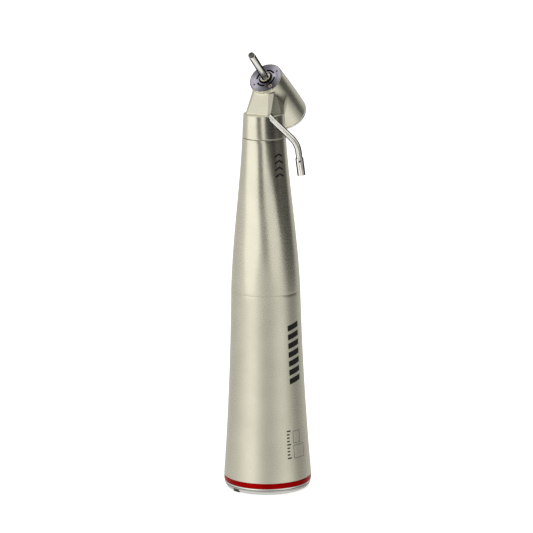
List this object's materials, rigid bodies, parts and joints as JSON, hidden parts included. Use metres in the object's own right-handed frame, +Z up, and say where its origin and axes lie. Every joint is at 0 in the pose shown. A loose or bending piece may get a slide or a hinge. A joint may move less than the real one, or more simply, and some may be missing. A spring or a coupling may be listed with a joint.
{
  "type": "contra angle handpiece",
  "caption": "Slim tapered dental drill handpiece with a tilted head, push-button chuck with a bur, red band and an external coolant tube.",
  "frame": {"origin": "centre of the motor bore's mouth, in the plane of the rear face that the handpiece stands on", "axes": "+Z up the handle towards the head, -Y the side the bur points to, +X the side the coolant tube comes down on"},
  "size_m": [0.0206, 0.0239, 0.1012],
  "materials": {
    "satin_steel": "fine blasted satin, warm champagne-silver",
    "bright_steel": "machined and polished steel",
    "face_steel": "turned steel with fine circular marks",
    "cap_satin": "satin steel, polished rim",
    "red_anodised": "gloss red anodised",
    "bearing_steel": "ground and polished",
    "gear_brass": "machined gear bronze",
    "rubber_black": "matte",
    "seal_plastic": "matte",
    "bur_steel": "polished shank",
    "spring_steel": "drawn wire"
  },
  "bodies": {
    "handle": {"base_ring": "bright_steel", "colour_band": "red_anodised", "coupling_tube": "bright_steel", "rear_sleeve": "satin_steel", "front_sleeve": "satin_steel", "sleeve_o_rings": "rubber_black", "gear_housing": "bright_steel", "gear_housing_cover": "bright_steel", "cover_screws": "spring_steel", "input_bearing_outer_rings": "bearing_steel", "input_bearing_balls": "bearing_steel", "shaft_bearing_outer_rings": "bearing_steel", "shaft_bearing_balls": "bearing_steel", "head_housing": "satin_steel", "nozzle_plate": "face_steel", "coolant_jet": "face_steel", "dust_seal": "seal_plastic", "irrigation_tube": "bright_steel", "tube_collar": "bright_steel", "tube_ferrule": "bright_steel", "head_bearing_outer_rings": "bearing_steel", "head_bearing_balls": "bearing_steel", "preload_washer": "spring_steel", "back_cap": "cap_satin", "button_spring": "spring_steel"},
    "input_drive": {"input_shaft": "bright_steel", "drive_dog": "bright_steel", "ring_gear": "gear_brass", "input_bearing_spacer": "bright_steel", "input_bearing_inner_rings": "bearing_steel"},
    "front_drive": {"front_shaft": "bright_steel", "step_up_pinion": "gear_brass", "front_bevel_gear": "gear_brass", "shaft_bearing_inner_rings": "bearing_steel"},
    "chuck": {"chuck_spindle": "bright_steel", "rotor_pinion": "gear_brass", "collet": "bright_steel", "chuck_wedge": "bright_steel", "head_bearing_inner_rings": "bearing_steel"},
    "bur": {"bur": "bur_steel"},
    "button": {"push_button": "cap_satin"}
  },
  "joints": [
    {"name": "input_spin", "type": "hinge", "parent": "handle", "child": "input_drive", "pos_m": [0, 0, 0.03], "axis": [0, 0, 1], "continuous": true},
    {"name": "front_shaft_spin", "type": "hinge", "parent": "handle", "child": "front_drive", "pos_m": [0, 0.0024, 0.06], "axis": [0, 0, 1], "continuous": true},
    {"name": "chuck_spin", "type": "hinge", "parent": "handle", "child": "chuck", "pos_m": [0, 4.24354, -4.14804], "axis": [0, -0.7071, 0.7071], "continuous": true},
    {"name": "bur_slide", "type": "slide", "parent": "chuck", "child": "bur", "axis": [0, -0.7071, 0.7071], "range_m": [0, 0.012]},
    {"name": "button_press", "type": "slide", "parent": "handle", "child": "button", "axis": [0, -0.7071, 0.7071], "range_m": [0, 0.0006], "stiffness_N_per_m": 1500, "springref_m": -0.0004, "deforming": ["button_spring"]}
  ],
  "couplings": [
    {"joint": "front_shaft_spin", "follows": "input_spin", "ratio": 3},
    {"joint": "chuck_spin", "follows": "input_spin", "ratio": -4.2}
  ]
}
